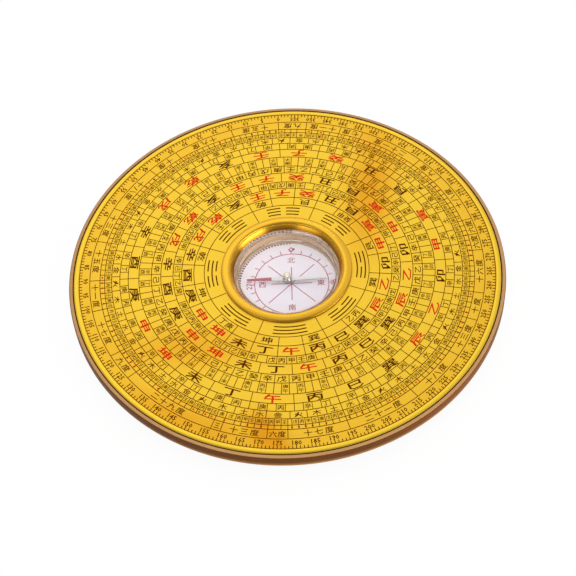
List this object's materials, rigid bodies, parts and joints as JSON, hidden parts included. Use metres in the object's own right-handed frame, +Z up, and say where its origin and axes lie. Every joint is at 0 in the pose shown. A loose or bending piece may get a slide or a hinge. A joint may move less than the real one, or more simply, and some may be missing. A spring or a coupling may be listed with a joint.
{
  "type": "geomancy compass",
  "caption": "Round disc compass: a turned base with a ringed metal dial, and a raised gold bezel round a clear capsule with a free needle on a pivot.",
  "frame": {"origin": "middle of the flat foot, on the surface that the disc lies on", "axes": "+Z up along the pivot, +Y towards the dial's north mark, +X towards its east"},
  "size_m": [0.125, 0.125, 0.0116],
  "materials": {
    "base_wood": "satin lacquer",
    "dial_gold": "gold anodised, brushed round the centre",
    "bezel_gold": "gold anodised, satin",
    "clear_acrylic": "clear, polished",
    "white_tray": "satin",
    "card": "matt, printed",
    "pin_steel": "polished point",
    "needle_steel": "bright, with one half painted red",
    "cap_metal": "polished",
    "jewel": "polished"
  },
  "bodies": {
    "housing": {"base_plate": "base_wood", "dial_plate": "dial_gold", "bezel_ring": "bezel_gold", "capsule_cover": "clear_acrylic", "capsule_base": "white_tray", "compass_card": "card", "pivot_pin": "pin_steel"},
    "needle": {"compass_needle": "needle_steel", "needle_cap": "cap_metal", "jewel_bearing": "jewel"}
  },
  "joints": [
    {"name": "needle_spin", "type": "hinge", "parent": "housing", "child": "needle", "pos_m": [0, 0, 0.0069], "axis": [0, 0, 1], "continuous": true}
  ]
}
